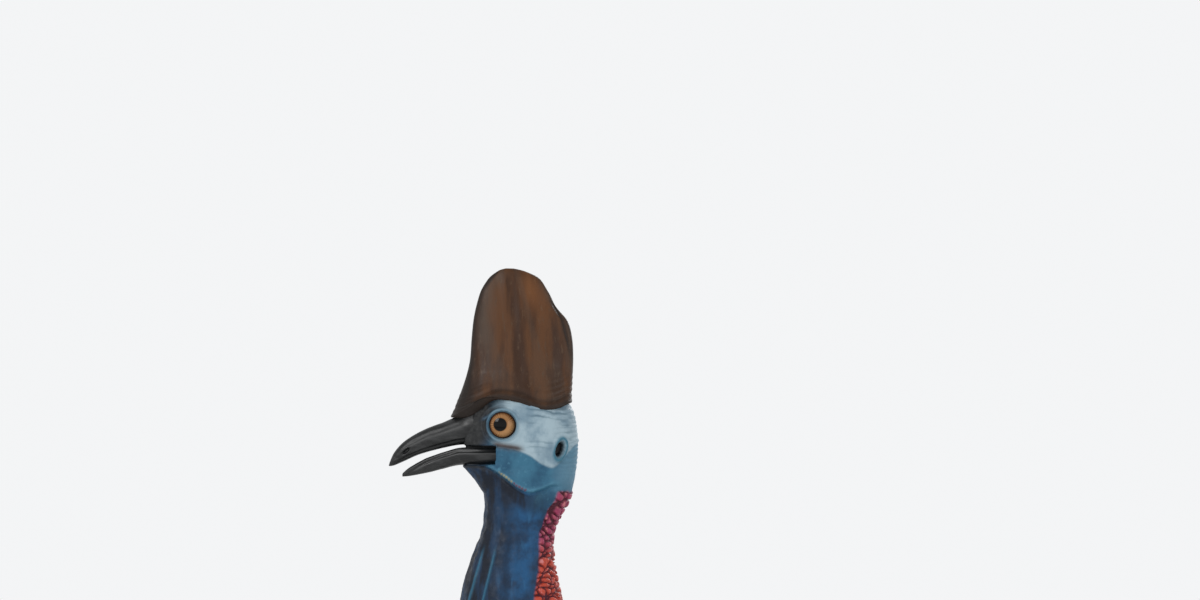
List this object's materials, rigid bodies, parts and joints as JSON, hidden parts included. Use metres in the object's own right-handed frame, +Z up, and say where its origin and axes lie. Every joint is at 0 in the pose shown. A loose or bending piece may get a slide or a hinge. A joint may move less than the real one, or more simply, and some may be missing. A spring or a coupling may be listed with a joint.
{
  "type": "southern cassowary",
  "caption": "Adult southern cassowary standing at rest, tall casque, bill slightly open, bare blue neck with wattles, shaggy black plumage and clawed three-toed feet.",
  "frame": {"origin": "on the floor, under the middle of the bird's bounding box", "axes": "+Z up from the floor, bird faces -Y, its left side towards +X"},
  "size_m": [0.4704, 0.9608, 1.7],
  "materials": {
    "casque": "dull horn, brown with darker edges",
    "bill": "satin charcoal horn",
    "eye": "wet, amber brown iris and black pupil",
    "face": "matt pale blue skin, black in front of the eye",
    "neck_skin": "matt deep blue skin with folds, magenta to orange red knobs on the nape",
    "wattle": "matt red folded skin",
    "plumage": "coarse black hair-like feathers",
    "quill": "smooth black horn",
    "leg_scale": "dry grey brown scales",
    "claw": "dull dark horn"
  },
  "bodies": {
    "root": {"head": "face", "eye_left": "eye", "eye_right": "eye", "bill_upper": "bill", "bill_lower": "bill", "casque": "casque", "neck_upper": "neck_skin", "neck_lower": "neck_skin", "wattle_left": "wattle", "wattle_right": "wattle", "torso": "plumage", "wing_left": "quill", "drumstick_left": "plumage", "shank_left": "leg_scale", "toe_middle_left": "leg_scale", "claw_middle_left": "claw", "toe_outer_left": "leg_scale", "claw_outer_left": "claw", "toe_inner_left": "leg_scale", "claw_inner_left": "claw", "wing_right": "quill", "drumstick_right": "plumage", "shank_right": "leg_scale", "toe_middle_right": "leg_scale", "claw_middle_right": "claw", "toe_outer_right": "leg_scale", "claw_outer_right": "claw", "toe_inner_right": "leg_scale", "claw_inner_right": "claw"}
  },
  "joints": []
}
